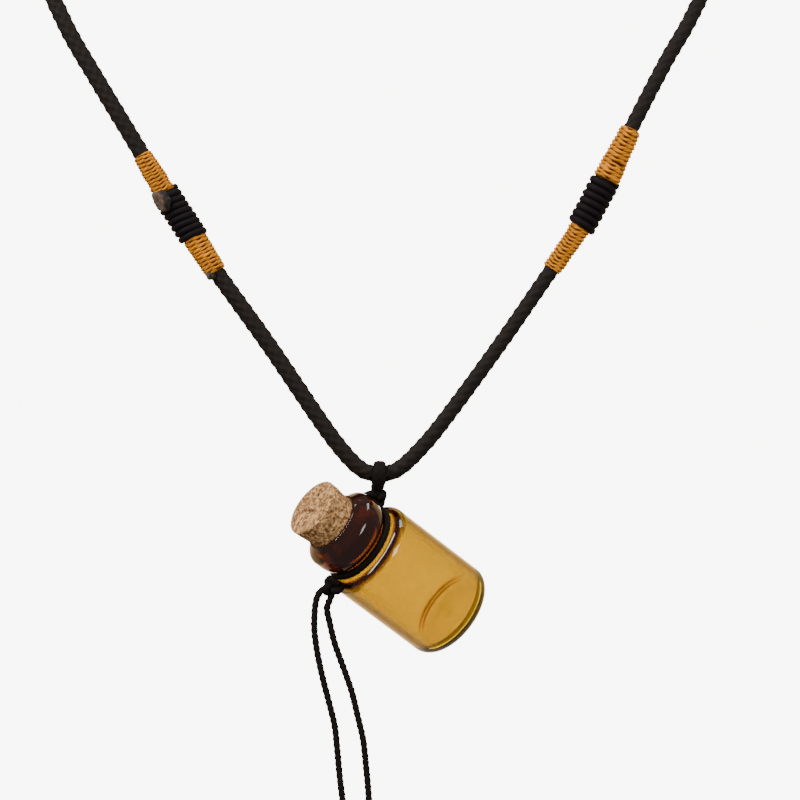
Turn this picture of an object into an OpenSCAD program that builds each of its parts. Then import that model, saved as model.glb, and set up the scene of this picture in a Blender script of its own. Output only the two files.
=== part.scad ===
// Bottle pendant necklace in millimetres. The origin is the middle of the nape, +X is to the
// right of someone who faces the pendant, +Y runs from its front to its back and +Z is up.

/* [Neck cord] */
// diameter of the braided cord that goes round the neck
neck_cord_diameter = 3.3; // [2.8:0.1:3.6]
// space between the neck cord and what is wound round it
wrap_clearance = 0.25; // [0.2:0.05:0.4]
// length of the plain whipping that joins the two ends at the nape
nape_joint_length = 20; // [14:1:24]
// thickness of the whipping at the nape
nape_joint_wall = 0.9; // [0.6:0.1:1.5]

/* [Wound thread and coils] */
// diameter of the left orange wraps beside their coil
left_wrap_diameter = 5; // [4.6:0.1:5.6]
// diameter of the right lower orange wrap beside its coil
right_lower_wrap_diameter = 4.6; // [4.5:0.1:5.4]
// diameter of the right upper orange wrap beside its coil
right_upper_wrap_diameter = 5.4; // [4.6:0.1:5.8]
// diameter of every orange wrap at the end away from its coil
wrap_tip_diameter = 4.4; // [4.3:0.1:4.9]
// outer diameter of the two dark coils
coil_diameter = 6.3; // [5.6:0.1:7]
// turns in the left coil
left_turns = 8; // [6:1:10]
// turns in the right coil
right_turns = 7; // [5:1:9]
// depth of the groove between two turns
turn_groove = 0.45; // [0.2:0.05:0.6]
// space between the ends of two wraps that follow each other
wrap_spacing = 0.3; // [0.2:0.05:0.5]
// diameter of the melted bead on the left coil
burnt_end_diameter = 3.3; // [2.4:0.1:4]
// thickness of the melted bead
burnt_end_thickness = 1.6; // [1:0.1:2.2]

/* [Hanging cord] */
// diameter of the thin cord that carries the bottle
thin_cord_diameter = 1.5; // [1.2:0.1:1.8]
// diameter of the two loose tails
tail_diameter = 1.6; // [1.3:0.1:1.8]
// thickness of the flattened loop over the neck cord
loop_thickness = 0.85; // [0.6:0.05:1.1]
// width of that loop along the neck cord
loop_width = 2.4; // [1.8:0.1:2.8]
// space between knots, loop and turn
cord_clearance = 0.1; // [0.05:0.05:0.2]

/* [Bottle] */
// diameter of the glass body
body_diameter = 22; // [20:0.5:26]
// height of the body from its base to the start of the shoulder
body_height = 26.3; // [20:0.5:34]
// radius of the rounded shoulder
shoulder_radius = 2.5; // [1.5:0.25:2.75]
// radius of the rounded heel at the base
heel_radius = 3; // [1.5:0.25:4]
// diameter of the neck groove that the thin cord lies in
neck_diameter = 15.6; // [15:0.2:16.4]
// largest diameter of the rolled lip
lip_diameter = 18.8; // [18:0.2:20]
// height of the rolled lip
lip_height = 7.5; // [6:0.1:9]
// thickness of the body's glass
wall = 1.1; // [0.8:0.1:1.5]
// thickness of the base
floor_thickness = 1.6; // [1.5:0.1:3.2]
// how far the underside of the base rises in its middle
punt_depth = 0.6; // [0:0.1:1]
// angle of the bottle's axis from upright
bottle_lean = 56.7; // [45:0.1:70]
// direction that the mouth points to, counted from +X round +Z
mouth_heading = 212.9; // [200:0.1:225]

/* [Cork] */
// diameter of the cork's top
cork_top_diameter = 13.2; // [12.4:0.1:13.6]
// diameter of the cork's inner end
cork_end_diameter = 11.4; // [10.4:0.1:12]
// whole length of the cork
cork_length = 13; // [9:0.2:15]
// length of the cork that stands out of the mouth
cork_stands_out = 6; // [4:0.1:7]
// space between the cork and the mouth
cork_clearance = 0.15; // [0.1:0.05:0.3]

/* [Hidden] */
$fn = 96;
cord_sides = 8;
line_steps = 2;

// The neck cord's route, measured from its lowest point: left end at the nape, left arm,
// lowest point, right arm and right end at the nape.
neck_route = [
    [-1, 40, 232], [-11, 40, 231.8], [-20, 39.6, 229.5], [-33, 38, 222.5], [-50, 34, 208],
    [-66, 27.5, 184], [-75.5, 20.5, 159], [-77.5, 14, 134], [-75, 9.5, 113], [-70, 6.5, 100],
    [-62.5, 4.5, 87], [-52.4, 3, 70.3], [-47.7, 2.4, 62.4], [-41, 1.8, 52.1], [-36.25, 1.4, 44.85],
    [-24.5, 0.6, 28.5], [-14, 0, 13], [-8.5, 0, 5.5], [-4, 0, 1],
    [0, 0, 0],
    [4, 0, 1], [8.5, 0, 5], [14, 0, 11.5], [26, 0.7, 27.8],
    [38.2, 1.4, 45.4], [44.4, 1.8, 54.4], [50.2, 2.4, 65.2], [55.5, 3.2, 76], [63.3, 5, 91],
    [69.3, 6.8, 101.5], [74.5, 9.7, 114], [77.5, 14, 134], [75.5, 20.5, 159], [66, 27.5, 184],
    [50, 34, 208], [33, 38, 222.5], [20, 39.6, 229.5], [11, 40, 231.8], [1, 40, 232]
];
// The four route points that bound the wraps of each arm, from the first one.
left_wraps_from = 11;
right_wraps_from = 24;
// The two loose tails, measured from the same point.
left_tail_route = [
    [-11.7, -7.85, -24.9], [-12.9, -7.95, -25.6], [-13.8, -7.95, -27.4], [-14.2, -7.95, -30.5],
    [-14.2, -7.95, -34.5], [-13.5, -7.95, -39.5], [-12.3, -7.95, -45], [-11, -7.95, -50],
    [-9.8, -7.95, -55], [-9.2, -7.95, -60.5], [-8.7, -7.95, -66], [-8.1, -7.95, -71], [-7.9, -7.95, -73.5]
];
right_tail_route = [
    [-10.3, -7.45, -26], [-10.9, -7.35, -27.5], [-11.5, -7.15, -29.5], [-11, -7.05, -32],
    [-9.8, -7.05, -37], [-7.9, -7.05, -42.3], [-6.1, -7.05, -47.5], [-4.8, -7.05, -52.8],
    [-3.6, -7.05, -58], [-3, -7.05, -63.3], [-2.5, -7.05, -68.5], [-2.2, -7.05, -73]
];

// The lowest point of the neck cord, with the middle of the nape at the origin.
lowest = -[0, neck_route[0].y, neck_route[0].z];

// Directions and places of the bottle.
upward = [0, 0, 1];
mouth_way = [
    sin(bottle_lean) * cos(mouth_heading), sin(bottle_lean) * sin(mouth_heading), cos(bottle_lean)
];
rim_up = unit(upward - cos(bottle_lean) * mouth_way);
rim_across = cross(mouth_way, rim_up);
neck_turn_radius = neck_diameter / 2 + cord_clearance + thin_cord_diameter / 2;
shoulder_top = body_height + shoulder_radius;
groove_below_turn = 0.4;
neck_turn_height = shoulder_top + groove_below_turn + cord_clearance + thin_cord_diameter / 2;
lip_bottom = neck_turn_height + thin_cord_diameter / 2 + cord_clearance;
lip_top = lip_bottom + lip_height;

// The cork decides the mouth's bore.
cork_in = cork_length - cork_stands_out;
cork_at_mouth = cork_end_diameter + (cork_top_diameter - cork_end_diameter) * cork_in / cork_length;
mouth_radius = cork_at_mouth / 2 + cork_clearance;
cork_edge = 0.35;

// The loop over the neck cord and its two legs.
loop_inner = neck_cord_diameter / 2 + wrap_clearance;
loop_outer = loop_inner + loop_thickness;
leg_bend = -1.2;
leg_spread = 0.4;

// Each knot is two round lobes, given in thin cord diameters: the radius of the first, the
// radius of the second and the way from the first to the second.
top_knot_from_lowest = [0.1, 0.1, -5.5];
top_knot_radii = [1.36, 1.1];
top_knot_way = [-1.35, -0.1, 0.1];
top_knot_point = lowest + top_knot_from_lowest;
top_knot_radius = thin_cord_diameter * top_knot_radii[0];
leg_end = top_knot_from_lowest.z + top_knot_radius + cord_clearance;

// The bottle hangs from the top knot, which rests on the turn or on the shoulder, whichever is
// met first. The knot lies a little aside of the turn's highest point, on the base's side.
top_knot_aside = 1.05;
top_knot_behind = 0.12;
knot_to_turn = top_knot_radius + thin_cord_diameter / 2 + cord_clearance;
knot_to_curve = shoulder_radius + top_knot_radius + cord_clearance;
knot_above_curve = neck_turn_height - top_knot_behind - body_height;
top_knot_reach = max(
    neck_turn_radius + sqrt(knot_to_turn ^ 2 - top_knot_aside ^ 2),
    body_diameter / 2 - shoulder_radius + sqrt(knot_to_curve ^ 2 - knot_above_curve ^ 2)
);
neck_turn_centre = top_knot_point - top_knot_reach * rim_up - top_knot_aside * rim_across
    + top_knot_behind * mouth_way;
bottle_base = neck_turn_centre - neck_turn_height * mouth_way;

// The side knot is two balls that run together: their radii, and the step from the first centre
// to the second, in thin cord diameters. It lies so far out that the turn stays free of it.
side_knot_radii = [1.1, 1.1];
side_knot_way = [-0.9, -0.2, -0.3];
side_knot_reach = neck_turn_radius + cord_clearance
    + thin_cord_diameter * (side_knot_radii[0] + 1 / 2);

// The side knot rests beside the turn and over the shoulder, whose curve it clears.
knot_over_shoulder = 0.2;
side_knot_beyond = side_knot_reach - (body_diameter / 2 - shoulder_radius);
side_knot_from_curve = shoulder_radius + thin_cord_diameter * side_knot_radii[0] + knot_over_shoulder;
side_knot_height = body_height + sqrt(side_knot_from_curve ^ 2 - side_knot_beyond ^ 2);
side_knot_point = bottle_base + side_knot_height * mouth_way - side_knot_reach * rim_up;

// Place of the melted end: share of the left coil's length, and angle round it.
burnt_end_share = 0.84;
burnt_end_angle = 75;
// Width of the bead where it sits, as a share of its full width.
burnt_end_seat = 0.8;

function unit(v) = v / norm(v);

function arc(centre, radii, from, to, steps) = [
    for (i = [0:steps])
        let (a = from + (to - from) * i / steps)
        [centre.x + radii.x * cos(a), centre.y + radii.y * sin(a)]
];

// A smooth line through the given points, with a few rings in each stretch.
function line_point(p, i, f) =
    let (
        last = len(p) - 1,
        start_slope = (p[i + 1] - p[max(i - 1, 0)]) / 2,
        end_slope = (p[min(i + 2, last)] - p[i]) / 2
    )
    (2 * f ^ 3 - 3 * f ^ 2 + 1) * p[i] + (f ^ 3 - 2 * f ^ 2 + f) * start_slope
    + (3 * f ^ 2 - 2 * f ^ 3) * p[i + 1] + (f ^ 3 - f ^ 2) * end_slope;

function smooth_line(p) = concat(
    [for (i = [0:len(p) - 2]) for (k = [0:line_steps - 1]) line_point(p, i, k / line_steps)],
    [p[len(p) - 1]]
);

function line_way(p, i) = unit(p[min(i + 1, len(p) - 1)] - p[max(i - 1, 0)]);

// A tube of flat faces along a line, whose line never runs straight back.
module cord_along(route, diameter) {
    line = smooth_line(route);
    rings = len(line);
    front = [0, -1, 0.17];
    points = [
        for (i = [0:rings - 1])
            let (way = line_way(line, i), side = unit(cross(way, front)), lift = cross(side, way))
            for (k = [0:cord_sides - 1])
                line[i] + diameter / 2 * (cos(360 * k / cord_sides) * side
                    + sin(360 * k / cord_sides) * lift)
    ];
    walls = [
        for (i = [0:rings - 2]) for (k = [0:cord_sides - 1])
            let (a = i * cord_sides + k, b = i * cord_sides + (k + 1) % cord_sides)
            each [[a, a + cord_sides, b], [b, a + cord_sides, b + cord_sides]]
    ];
    first_end = [for (k = [0:cord_sides - 1]) k];
    last_end = [for (k = [cord_sides - 1:-1:0]) (rings - 1) * cord_sides + k];
    translate(lowest) polyhedron(points, concat(walls, [first_end, last_end]), convexity = 10);
}

// Stands children on the neck cord between two points of its route, low end first.
module on_neck_cord(low, high) {
    way = neck_route[high] - neck_route[low];
    translate(lowest + neck_route[low])
        rotate([0, acos(way.z / norm(way)), atan2(way.y, way.x)])
        children();
}

function route_length(low, high) = norm(neck_route[high] - neck_route[low]);

// A sleeve of wound thread, narrow at one end, with its bore round the neck cord.
module thread_wrap(low, high, low_diameter, high_diameter) {
    bore = neck_cord_diameter / 2 + wrap_clearance;
    start = wrap_spacing / 2;
    finish = route_length(low, high) - wrap_spacing / 2;
    low_radius = low_diameter / 2;
    high_radius = high_diameter / 2;
    edge = (min(low_radius, high_radius) - bore) / 2;
    on_neck_cord(low, high) rotate_extrude() polygon([
        [bore, start], [low_radius - edge, start], [low_radius, start + edge],
        [high_radius, finish - edge], [high_radius - edge, finish], [bore, finish]
    ]);
}

// A close coil of thin cord: one rounded ridge for each turn.
module cord_coil(low, high, turns) {
    bore = neck_cord_diameter / 2 + wrap_clearance;
    start = wrap_spacing / 2;
    pitch = (route_length(low, high) - wrap_spacing) / turns;
    ridge_steps = 6;
    ridges = [
        for (i = [0:turns * ridge_steps])
            [
                coil_diameter / 2 - turn_groove * (1 - abs(sin(180 * i / ridge_steps))),
                start + pitch * i / ridge_steps
            ]
    ];
    on_neck_cord(low, high) rotate_extrude()
        polygon(concat([[bore, start]], ridges, [[bore, start + pitch * turns]]));
}

module neck_cord() color("#1f1714") cord_along(neck_route, neck_cord_diameter);

module left_upper_wrap() color("#e09a38")
    thread_wrap(left_wraps_from + 1, left_wraps_from, left_wrap_diameter, wrap_tip_diameter);

module left_coil() color("#15101a")
    cord_coil(left_wraps_from + 2, left_wraps_from + 1, left_turns);

module left_lower_wrap() color("#e09a38")
    thread_wrap(left_wraps_from + 3, left_wraps_from + 2, wrap_tip_diameter, left_wrap_diameter);

module right_lower_wrap() color("#e09a38")
    thread_wrap(right_wraps_from, right_wraps_from + 1, wrap_tip_diameter, right_lower_wrap_diameter);

module right_coil() color("#15101a")
    cord_coil(right_wraps_from + 1, right_wraps_from + 2, right_turns);

module right_upper_wrap() color("#e09a38")
    thread_wrap(right_wraps_from + 2, right_wraps_from + 3, right_upper_wrap_diameter, wrap_tip_diameter);

// The melted end of the left coil's cord is a flat bead on the front of its last turns.
module burnt_cord_end() color("#5b4a3f") {
    low = left_wraps_from + 2;
    high = left_wraps_from + 1;
    radius = burnt_end_diameter / 2;
    widest = burnt_end_thickness / 3;
    on_neck_cord(low, high)
        translate([0, 0, burnt_end_share * route_length(low, high)])
        rotate(burnt_end_angle)
        translate([coil_diameter / 2 + wrap_clearance, 0, 0])
        rotate([0, 90, 0])
        rotate_extrude()
        polygon(concat(
            [[0, 0], [radius * burnt_end_seat, 0]],
            arc([0, widest], [radius, burnt_end_thickness - widest], 0, 90, 8)
        ));
}

// A plain whipping hides the place where the two ends of the neck cord meet.
module nape_joint() color("#1f1714") {
    bore = neck_cord_diameter / 2 + wrap_clearance + cord_clearance;
    outer = bore + nape_joint_wall;
    half = nape_joint_length / 2;
    edge = nape_joint_wall / 2;
    rotate([0, 90, 0]) rotate_extrude() polygon([
        [bore, -half], [outer - edge, -half], [outer, -half + edge],
        [outer, half - edge], [outer - edge, half], [bore, half]
    ]);
}

// The flattened loop over the neck cord is one flat outline, seen from its side: an arch and
// two legs that run together above the knot.
module hang_loop() color("#241b17") {
    tip_inner = leg_spread;
    tip_outer = leg_spread + loop_thickness;
    mid = top_knot_from_lowest.y;
    translate(lowest - [loop_width / 2, 0, 0]) rotate([90, 0, 90]) linear_extrude(loop_width)
        polygon(concat(
            [[mid + tip_inner, leg_end], [mid + tip_outer, leg_end], [loop_outer, leg_bend]],
            arc([0, 0], [loop_outer, loop_outer], 0, 180, 24),
            [[-loop_outer, leg_bend], [mid - tip_outer, leg_end], [mid - tip_inner, leg_end]],
            [[-loop_inner, leg_bend]],
            arc([0, 0], [loop_inner, loop_inner], 180, 0, 24),
            [[loop_inner, leg_bend]]
        ));
}

// Two round lobes that run into each other, turned about the line between their middles.
module knot(point, radii, way) {
    near = thin_cord_diameter * radii[0];
    far = thin_cord_diameter * radii[1];
    apart = thin_cord_diameter * norm(way);
    waist = (apart ^ 2 + near ^ 2 - far ^ 2) / (2 * apart);
    translate(point)
        rotate([0, acos(way.z / norm(way)), atan2(way.y, way.x)])
        rotate_extrude()
        polygon(concat(
            arc([0, 0], [near, near], -90, asin(waist / near), 12),
            arc([0, apart], [far, far], asin((waist - apart) / far), 90, 12)
        ));
}

module top_knot() color("#241b17") knot(top_knot_point, top_knot_radii, top_knot_way);

module neck_turn() color("#241b17")
    along_bottle() translate([0, 0, neck_turn_height])
    rotate_extrude() translate([neck_turn_radius, 0]) circle(d = thin_cord_diameter);

module side_knot() color("#241b17") knot(side_knot_point, side_knot_radii, side_knot_way);

module tail_left() color("#241b17") cord_along(left_tail_route, tail_diameter);

module tail_right() color("#241b17") cord_along(right_tail_route, tail_diameter);

// Stands children on the bottle's base, with +Z towards its mouth.
module along_bottle() {
    translate(bottle_base) rotate([0, bottle_lean, mouth_heading]) children();
}

// The glass is one turned outline: outside from the base to the lip, then down the inside.
module bottle() color([0.78, 0.5, 0.1, 0.6]) {
    body = body_diameter / 2;
    lip = lip_diameter / 2;
    neck = neck_diameter / 2;
    lip_root = (lip + 2 * neck) / 3;
    lip_middle = lip_bottom + lip_height * 0.4;
    mouth_edge = 0.3;
    inner = body - wall;
    inner_heel = heel_radius - wall;
    inner_shoulder = shoulder_radius + wall;
    inner_shoulder_top = shoulder_top - wall / 2;
    outside = concat(
        [[0, punt_depth], [body / 3, punt_depth * 0.7], [body - heel_radius - wall, 0]],
        arc([body - heel_radius, heel_radius], [heel_radius, heel_radius], -90, 0, 8),
        arc([body - shoulder_radius, body_height], [shoulder_radius, shoulder_radius], 0, 90, 8),
        [[neck, shoulder_top], [neck, lip_bottom]],
        arc([lip_root, lip_middle], [lip - lip_root, lip_middle - lip_bottom], -90, 0, 6),
        arc(
            [mouth_radius + mouth_edge, lip_middle],
            [lip - mouth_radius - mouth_edge, lip_top - lip_middle], 0, 90, 10
        )
    );
    inside = concat(
        [[mouth_radius, lip_top - mouth_edge], [mouth_radius, inner_shoulder_top]],
        arc(
            [mouth_radius, inner_shoulder_top - inner_shoulder],
            [inner - mouth_radius, inner_shoulder], 90, 0, 8
        ),
        arc([inner - inner_heel, floor_thickness + inner_heel], [inner_heel, inner_heel], 0, -90, 6),
        [[0, floor_thickness]]
    );
    along_bottle() rotate_extrude() polygon(concat(outside, inside));
}

// The cork tapers towards the inside of the bottle and has slightly blunt edges.
module cork() color("#c89a62") {
    top = cork_top_diameter / 2;
    end = cork_end_diameter / 2;
    along_bottle() translate([0, 0, lip_top - cork_in]) rotate_extrude() polygon([
        [0, 0], [end - cork_edge, 0], [end, cork_edge], [top, cork_length - cork_edge],
        [top - cork_edge, cork_length], [0, cork_length]
    ]);
}

neck_cord();
left_lower_wrap();
left_coil();
left_upper_wrap();
right_lower_wrap();
right_coil();
right_upper_wrap();
burnt_cord_end();
nape_joint();
hang_loop();
top_knot();
neck_turn();
side_knot();
tail_left();
tail_right();
bottle();
cork();
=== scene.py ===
# %% [markdown]
# This lesson dresses a small glass bottle that hangs on a braided cord necklace. The hard shapes
# were drawn before in a CAD model, which arrives as a fixed frame. Here every piece gets the
# surface that the real one has: braided cord, wound thread, amber glass and pressed cork.
# All lengths are in metres, but the sizes are typed in millimetres and turned once by MM,
# because nobody can read 0.00155 at a glance.

# %% Load the frame
import bpy
import numpy as np
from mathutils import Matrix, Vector


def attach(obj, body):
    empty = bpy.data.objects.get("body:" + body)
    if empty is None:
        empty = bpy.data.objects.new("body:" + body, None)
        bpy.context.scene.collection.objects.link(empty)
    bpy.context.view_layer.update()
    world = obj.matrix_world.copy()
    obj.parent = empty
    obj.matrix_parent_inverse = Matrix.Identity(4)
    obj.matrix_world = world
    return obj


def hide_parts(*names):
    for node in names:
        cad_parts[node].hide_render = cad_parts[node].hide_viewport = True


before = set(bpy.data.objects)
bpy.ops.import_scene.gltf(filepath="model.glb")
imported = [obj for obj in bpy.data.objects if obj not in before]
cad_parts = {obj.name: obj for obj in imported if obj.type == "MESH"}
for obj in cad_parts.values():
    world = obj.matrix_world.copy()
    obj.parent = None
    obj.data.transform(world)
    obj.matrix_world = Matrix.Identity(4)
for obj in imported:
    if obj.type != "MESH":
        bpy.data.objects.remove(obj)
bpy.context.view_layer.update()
MM = 0.001
CM = 0.01
TAU = 2 * np.pi
print("pieces in the frame:", len(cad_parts))

# %% [markdown]
# The camera comes first, so that every later choice can be judged through it. The picture was
# taken from the front with a long lens, so the camera stands 0.9 m away and looks straight
# along +Y. LOWEST is the lowest point of the neck cord, and places are given from there. The
# middle of the picture lies a little to its right and above it. The lens follows from the width
# of view at the pendant: 176.6 mm.

# %% Camera
LOWEST = np.array([0, -40, -232]) * MM
VIEW_CENTRE = LOWEST + np.array([4.5, 0, 16.3]) * MM
VIEW_DISTANCE = 900 * MM
VIEW_WIDTH = 176.6 * MM
NEAREST_SEEN = 10 * MM

camera = bpy.data.objects.new("camera", bpy.data.cameras.new("camera"))
bpy.context.scene.collection.objects.link(camera)
camera.location = VIEW_CENTRE - np.array([0, VIEW_DISTANCE, 0])
camera.rotation_euler = (np.pi / 2, 0, 0)
camera.data.lens = camera.data.sensor_width * VIEW_DISTANCE / VIEW_WIDTH
camera.data.clip_start = NEAREST_SEEN
bpy.context.scene.camera = camera
print("lens in mm:", round(camera.data.lens, 1))

# %% [markdown]
# Nearly every piece is a line with a surface round it. The first helper draws a smooth line
# through a few given points: between two points the line is a cubic whose
# slope at each point is half of the step from the point before to the point after. The others
# measure that line, space its points evenly and put a round surface about it.

# %% Line helpers
def smooth_line(points, steps):
    """Cubic line: p(f) = (2f3-3f2+1)a + (f3-2f2+f)ma + (3f2-2f3)b + (f3-f2)mb in each stretch."""
    p = np.asarray(points, float)
    slope = np.empty_like(p)
    slope[1:-1] = (p[2:] - p[:-2]) / 2
    slope[0], slope[-1] = (p[1] - p[0]) / 2, (p[-1] - p[-2]) / 2
    f = (np.arange(steps) / steps)[None, :, None]
    a, b, ma, mb = p[:-1, None], p[1:, None], slope[:-1, None], slope[1:, None]
    stretch = (2*f**3 - 3*f**2 + 1) * a + (f**3 - 2*f**2 + f) * ma
    stretch = stretch + (3*f**2 - 2*f**3) * b + (f**3 - f**2) * mb
    return np.vstack([stretch.reshape(-1, 3), p[-1:]])


def line_lengths(line):
    """Distance from the first point along the line, for each point."""
    return np.r_[0, np.cumsum(np.linalg.norm(np.diff(line, axis=0), axis=1))]


def even_line(line, spacing):
    """The same line with its points an equal distance apart."""
    along = line_lengths(line)
    at = np.linspace(0, along[-1], int(round(along[-1] / spacing)) + 1)
    return np.stack([np.interp(at, along, line[:, k]) for k in range(3)], axis=1)


def unit(v):
    """Each vector divided by its own length."""
    return v / np.linalg.norm(v, axis=-1, keepdims=True)


def round_line(line, radius, front, closed=False):
    """Surface round a line: line(s) + radius(s, t) * (cos t * side(s) + sin t * lift(s)).

    side is across both the line's way and the front direction, and lift is across side and way."""
    if closed:
        way = unit(np.roll(line, -1, axis=0) - np.roll(line, 1, axis=0))
    else:
        way = unit(np.gradient(line, axis=0))
    side = unit(np.cross(way, front))
    lift = np.cross(side, way)
    turn = np.arange(radius.shape[1]) / radius.shape[1] * TAU
    out = np.cos(turn)[None, :, None] * side[:, None] + np.sin(turn)[None, :, None] * lift[:, None]
    return line[:, None] + radius[:, :, None] * out

# %% [markdown]
# A grid is a surface of two parameters: rows along the piece and columns round it. A whole array
# of points goes into the mesh at once, which is much faster than adding points one by one. Each
# mesh also gets a UV map, so that fibres can follow the surface, and one number for each point,
# the groove, which tells the material how deep or how dark that point is. Mostly that dark is
# painted shade in gaps and pits; on the glass it is the tint.

# %% Grid helpers
def end_fans(rows, columns, middle):
    """Triangles that close the first and the last row, each round a middle point of its own."""
    ring = np.arange(columns)
    after = (ring + 1) % columns
    shift = (rows - 1) * columns
    first = np.stack([after, ring, np.full(columns, middle)], -1)
    last = np.stack([ring + shift, after + shift, np.full(columns, middle + 1)], -1)
    return np.vstack([first, last])


def filled_mesh(name, points, quads, fans):
    """A smooth mesh from whole arrays of points, four-cornered faces and three-cornered faces."""
    loops = np.concatenate([quads.ravel(), fans.ravel()]).astype(np.int32)
    sizes = np.r_[np.full(len(quads), 4), np.full(len(fans), 3)].astype(np.int32)
    mesh = bpy.data.meshes.new(name)
    mesh.vertices.add(len(points))
    mesh.vertices.foreach_set("co", points.ravel())
    mesh.loops.add(len(loops))
    mesh.loops.foreach_set("vertex_index", loops)
    mesh.polygons.add(len(sizes))
    mesh.polygons.foreach_set("loop_start", np.r_[0, np.cumsum(sizes)[:-1]].astype(np.int32))
    mesh.update(calc_edges=True)
    mesh.shade_smooth()
    return mesh


def grid_piece(name, grid, body, along, groove, closed_rows=False):
    """A piece that rides on a body, from a grid whose columns close round it.

    U counts turns round the piece and V is the given length along it in centimetres."""
    rows, columns = grid.shape[:2]
    last = rows if closed_rows else rows - 1
    i, j = np.meshgrid(np.arange(last), np.arange(columns), indexing="ij")
    i2, j2 = (i + 1) % rows, (j + 1) % columns
    quads = np.stack([i*columns + j, i*columns + j2, i2*columns + j2, i2*columns + j], -1)
    v = np.r_[along, along[-1] + (along[-1] - along[-2])] / CM
    uv = np.stack([
        np.stack([j, j + 1, j + 1, j], -1) / columns,
        np.stack([v[i], v[i], v[i + 1], v[i + 1]], -1)
    ], -1)
    points, fans = grid.reshape(-1, 3), np.empty((0, 3), int)
    if not closed_rows:
        fans = end_fans(rows, columns, len(points))
        points = np.vstack([points, grid[0].mean(0), grid[-1].mean(0)])
    mesh = filled_mesh(name, points, quads.reshape(-1, 4), fans)
    layer = mesh.uv_layers.new(name="surface")
    layer.data.foreach_set("uv", np.vstack([uv.reshape(-1, 2), np.zeros((fans.size, 2))]).ravel())
    depth = mesh.attributes.new("groove", "FLOAT", "POINT")
    depth.data.foreach_set("value", np.r_[groove.ravel(), np.ones(len(points) - groove.size)])
    mesh.validate()
    piece = bpy.data.objects.new(name, mesh)
    bpy.context.scene.collection.objects.link(piece)
    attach(piece, body)
    print(name, "faces:", len(mesh.polygons))
    return piece

# %% [markdown]
# A round braid is made of strands that wind both ways round the cord and pass over and under
# each other. One formula gives its whole surface. Two slanted counts run round and along the
# cord, one for each way of winding. Across a strand the surface is a half circle, and a product
# of two sines decides which of the two strands lies on top. The higher of both is the braid.

# %% Braid relief
WEAVE_LIFT = 0.55


def round_row(count):
    """Half circles side by side, one for each whole step of the count."""
    return np.sqrt(np.clip(1 - (2 * (count % 1) - 1) ** 2, 0, 1))


def braid(along, columns, strands, pitch):
    """Height from 0 to 1: the higher of two round strands, one lifted by sin(pi a) sin(pi b)."""
    turn = np.arange(columns)[None] / columns
    a = strands * turn + along[:, None] / pitch
    b = strands * turn - along[:, None] / pitch
    weave = WEAVE_LIFT * np.sin(np.pi * a) * np.sin(np.pi * b)
    return np.maximum(round_row(a) + weave, round_row(b) - weave) / (1 + WEAVE_LIFT)


def braided_cord(name, body, line, front, diameter, strands, pitch, depth, columns,
                 closed=False, swell=1.0):
    """A cord whose radius is swell(s) * diameter/2 less the depth of the braid's gaps."""
    along = line_lengths(line)
    height = braid(along, columns, strands, pitch)
    radius = np.broadcast_to(swell, along.shape)[:, None] * diameter / 2 - depth * (1 - height)
    grid = round_line(line, radius, front, closed)
    # The groove is one minus the braid's height: painted shade in the braid's gaps.
    return grid_piece(name, grid, body, along, 1 - height, closed_rows=closed)

# %% [markdown]
# The neck cord repeats the points of the CAD route. Its real length is the whole loop, because
# nothing of it is coiled away: the part above the picture runs the plain way round the neck.
# Four of its points on each arm, counted upwards, are where the wraps and the coil begin and end.
# The two tails hang free from the knot at the side of the bottle.

# %% Cord routes
NECK_CORD_D = 3.8 * MM
THIN_CORD_D = 1.5 * MM
TAIL_D = 1.6 * MM
NECK_ROUTE = LOWEST + MM * np.array([
    [-1, 40, 232], [-11, 40, 231.8], [-20, 39.6, 229.5], [-33, 38, 222.5], [-50, 34, 208],
    [-66, 27.5, 184], [-75.5, 20.5, 159], [-77.5, 14, 134], [-75, 9.5, 113], [-70, 6.5, 100],
    [-62.5, 4.5, 87], [-52.4, 3, 70.3], [-47.7, 2.4, 62.4], [-41, 1.8, 52.1], [-36.25, 1.4, 44.85],
    [-24.5, 0.6, 28.5], [-14, 0, 13], [-8.5, 0, 5.5], [-4, 0, 1],
    [0, 0, 0],
    [4, 0, 1], [8.5, 0, 5], [14, 0, 11.5], [26, 0.7, 27.8],
    [38.2, 1.4, 45.4], [44.4, 1.8, 54.4], [50.2, 2.4, 65.2], [55.5, 3.2, 76], [63.3, 5, 91],
    [69.3, 6.8, 101.5], [74.5, 9.7, 114], [77.5, 14, 134], [75.5, 20.5, 159], [66, 27.5, 184],
    [50, 34, 208], [33, 38, 222.5], [20, 39.6, 229.5], [11, 40, 231.8], [1, 40, 232]
])
LEFT_TAIL_ROUTE = LOWEST + MM * np.array([
    [-11.7, -7.85, -24.9], [-12.9, -7.95, -25.6], [-13.8, -7.95, -27.4], [-14.2, -7.95, -30.5],
    [-14.2, -7.95, -34.5], [-13.5, -7.95, -39.5], [-12.3, -7.95, -45], [-11, -7.95, -50],
    [-9.8, -7.95, -55], [-9.2, -7.95, -60.5], [-8.7, -7.95, -66], [-8.1, -7.95, -71],
    [-7.9, -7.95, -73.5]
])
RIGHT_TAIL_ROUTE = LOWEST + MM * np.array([
    [-10.3, -7.45, -26], [-10.9, -7.35, -27.5], [-11.5, -7.15, -29.5], [-11, -7.05, -32],
    [-9.8, -7.05, -37], [-7.9, -7.05, -42.3], [-6.1, -7.05, -47.5], [-4.8, -7.05, -52.8],
    [-3.6, -7.05, -58], [-3, -7.05, -63.3], [-2.5, -7.05, -68.5], [-2.2, -7.05, -73]
])
LEFT_STOPS, RIGHT_STOPS = NECK_ROUTE[[14, 13, 12, 11]], NECK_ROUTE[[24, 25, 26, 27]]
TOWARDS_VIEWER = np.array([0, -1, 0.17])
print("points of the neck cord's route:", len(NECK_ROUTE))

# %% [markdown]
# The real cord isn't equally thick: its left arm is a little fuller than its right one. So the
# radius swells by 4 % to the left of the pendant and shrinks by 5 % to the right of it.

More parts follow.
